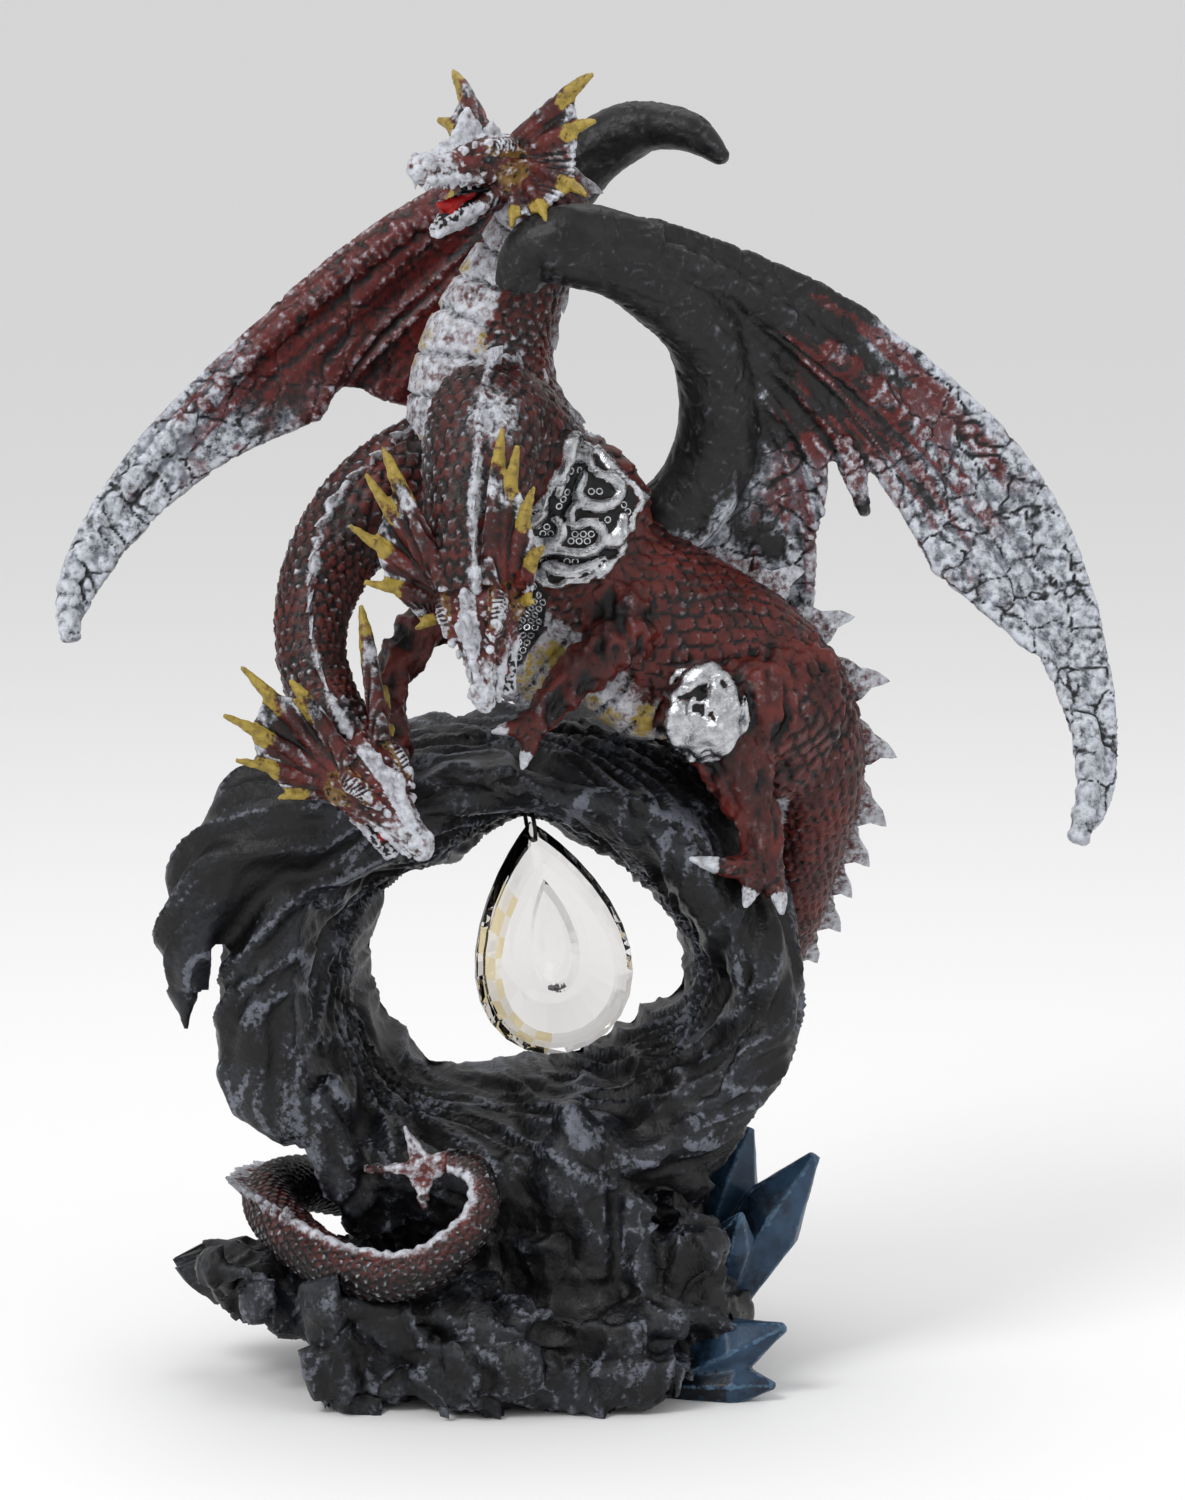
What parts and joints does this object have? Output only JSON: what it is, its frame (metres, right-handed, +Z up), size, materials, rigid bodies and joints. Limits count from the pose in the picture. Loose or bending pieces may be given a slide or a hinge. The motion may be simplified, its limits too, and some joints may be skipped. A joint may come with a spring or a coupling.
{
  "type": "dragon statue",
  "caption": "Three-headed winged dragon climbing a ring of rock on a rugged plinth, with a clear glass drop hung in the ring and blue crystals at one side.",
  "frame": {"origin": "centre of the rock plinth's flat underside", "axes": "+Z up, the statue faces -Y, +X towards the blue crystals"},
  "size_m": [0.2195, 0.1284, 0.2744],
  "materials": {
    "rock": "cast polyresin painted satin black, dry-brushed blue grey",
    "dragon_paint": "cast polyresin painted oxide red over black, dry-brushed white, ochre and silver",
    "wing_paint": "cast polyresin painted black and oxide red, dry-brushed white",
    "crystal_paint": "cast polyresin painted steel blue, satin",
    "clear_glass": "clear cut glass, polished facets",
    "black_wire": "blackened steel wire"
  },
  "bodies": {
    "root": {"rock_ring_plinth": "rock", "dragon": "dragon_paint", "right_wing": "wing_paint", "left_wing": "wing_paint", "blue_crystals_high": "crystal_paint", "blue_crystals_low": "crystal_paint", "glass_drop": "clear_glass", "drop_hook": "black_wire"}
  },
  "joints": []
}
